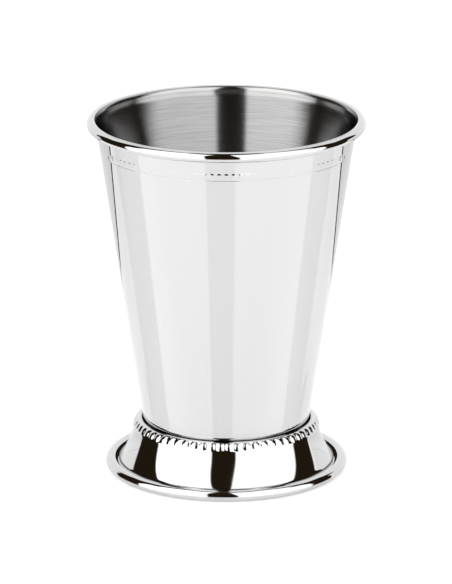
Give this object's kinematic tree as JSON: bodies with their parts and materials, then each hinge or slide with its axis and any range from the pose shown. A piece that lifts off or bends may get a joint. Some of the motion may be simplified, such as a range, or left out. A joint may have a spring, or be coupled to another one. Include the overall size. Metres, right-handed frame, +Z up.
{
  "type": "julep cup",
  "caption": "Tapered polished steel julep cup with a curled lip and an incised line, soldered into a flared hollow foot with a beaded collar and a rolled edge.",
  "frame": {"origin": "centre of the circle on which the foot stands, at table height", "axes": "+Z up along the cup's axis; the cup is a body of revolution, apart from its beads, so +X and +Y are any two square directions; the picture looks along +Y"},
  "size_m": [0.088, 0.088, 0.115],
  "materials": {
    "polished_steel": "polished",
    "solder": "satin"
  },
  "bodies": {
    "root": {"cup_body": "polished_steel", "foot": "polished_steel", "solder_ring": "solder"}
  },
  "joints": []
}
